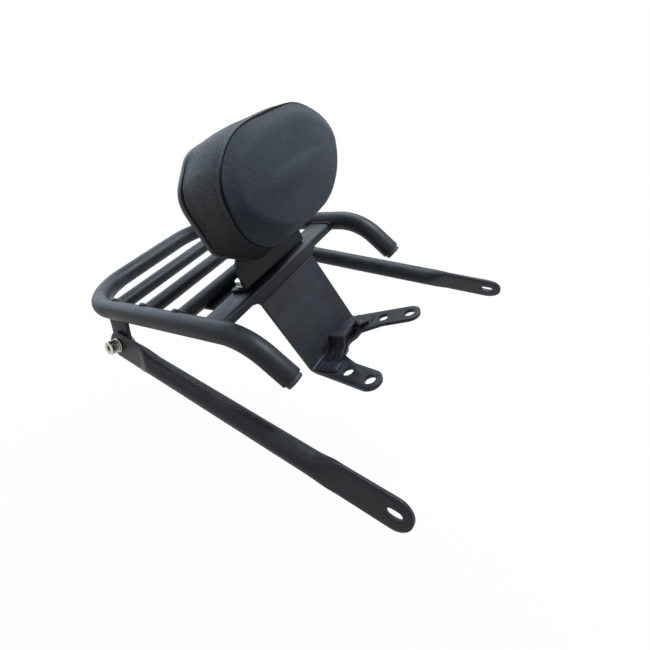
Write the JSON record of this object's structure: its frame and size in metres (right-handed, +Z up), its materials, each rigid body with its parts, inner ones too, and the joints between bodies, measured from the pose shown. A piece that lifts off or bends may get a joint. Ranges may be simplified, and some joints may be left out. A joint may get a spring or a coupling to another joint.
{
  "type": "luggage rack with backrest",
  "caption": "Welded tube luggage deck with a forked seat bracket, two pivoting stay tubes with slotted flat ends, and a padded backrest on a folded upright plate.",
  "frame": {"origin": "middle of the underside of the forked seat bracket, on the face that seats on the motorbike, midway between its arms", "axes": "+Z up with the luggage deck level, -Y towards the front of the motorbike, +X to the right as seen from the front; the rack is symmetric across X, and left and right in the names are as seen from the front"},
  "size_m": [0.3776, 0.5173, 0.3214],
  "materials": {
    "coat": "satin black powder coat",
    "steel": "bright plated steel",
    "plastic": "moulded black plastic",
    "rubber": "matte black rubber",
    "leather": "fine-grained black leatherette"
  },
  "bodies": {
    "rack": {"rack_loop_tube": "coat", "cross_tube_front": "coat", "cross_tube_middle": "coat", "cross_tube_rear": "coat", "cross_angle": "coat", "deck_stiffener": "coat", "seat_bracket": "coat", "seat_bridge": "coat", "stay_ear_left": "coat", "stay_ear_right": "coat", "backrest_bracket": "coat", "stay_bolt_left": "steel", "stay_bolt_right": "steel", "stay_washer_left": "steel", "stay_washer_right": "steel", "stay_nut_left": "steel", "stay_nut_right": "steel", "rest_bolt_left": "steel", "rest_bolt_right": "steel", "rest_washer_left": "steel", "rest_washer_right": "steel", "rest_nut_left": "steel", "rest_nut_right": "steel", "pad_screw_lower_left": "steel", "pad_screw_lower_right": "steel", "pad_screw_upper_left": "steel", "pad_screw_upper_right": "steel", "pad_shell": "plastic", "pad_edge_strip": "rubber", "pad_cushion": "leather", "end_plug_left": "rubber", "end_plug_right": "rubber"},
    "stay_left_arm": {"stay_left": "coat"},
    "stay_right_arm": {"stay_right": "coat"}
  },
  "joints": [
    {"name": "stay_left_swing", "type": "hinge", "parent": "rack", "child": "stay_left_arm", "pos_m": [-0.1474, 0.264, 0.07167], "axis": [0.9336, 0, -0.3584], "range_deg": [-8, 95]},
    {"name": "stay_right_swing", "type": "hinge", "parent": "rack", "child": "stay_right_arm", "pos_m": [0.1474, 0.264, 0.07167], "axis": [0.9336, 0, 0.3584], "range_deg": [-8, 95]}
  ]
}
